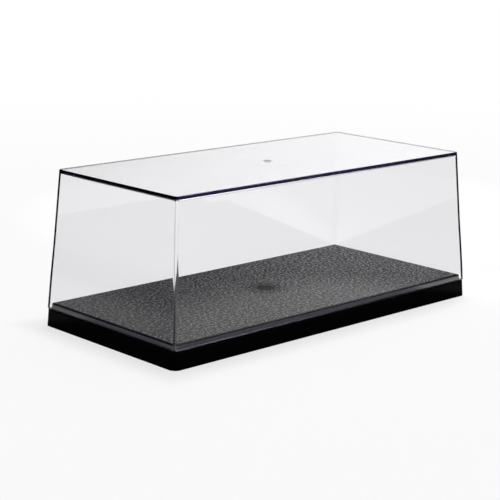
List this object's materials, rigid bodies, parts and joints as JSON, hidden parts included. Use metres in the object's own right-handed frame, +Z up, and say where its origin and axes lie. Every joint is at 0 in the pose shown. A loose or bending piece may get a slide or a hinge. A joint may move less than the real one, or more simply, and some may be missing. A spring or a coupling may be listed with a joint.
{
  "type": "display case",
  "caption": "Low tabletop display case: a grained black tray base with a raised floor, and a clear drafted cover that lifts straight off.",
  "frame": {"origin": "middle of the foot of the base, on the table", "axes": "+X along the length of the case, +Y across its depth, +Z up; the longest side is X and the height is the shortest"},
  "size_m": [0.3256, 0.155, 0.123],
  "materials": {
    "black_plastic": "black injection-moulded polystyrene: polished skirt and ledge, fine spark-eroded grain on the display floor",
    "clear_plastic": "clear injection-moulded crystal polystyrene, polished, with a faint violet-blue tint seen edge on"
  },
  "bodies": {
    "base": {"base": "black_plastic"},
    "cover": {"cover": "clear_plastic"}
  },
  "joints": [
    {"name": "cover_lift", "type": "slide", "parent": "base", "child": "cover", "axis": [0, 0, 1], "range_m": [0, 0.13]}
  ]
}
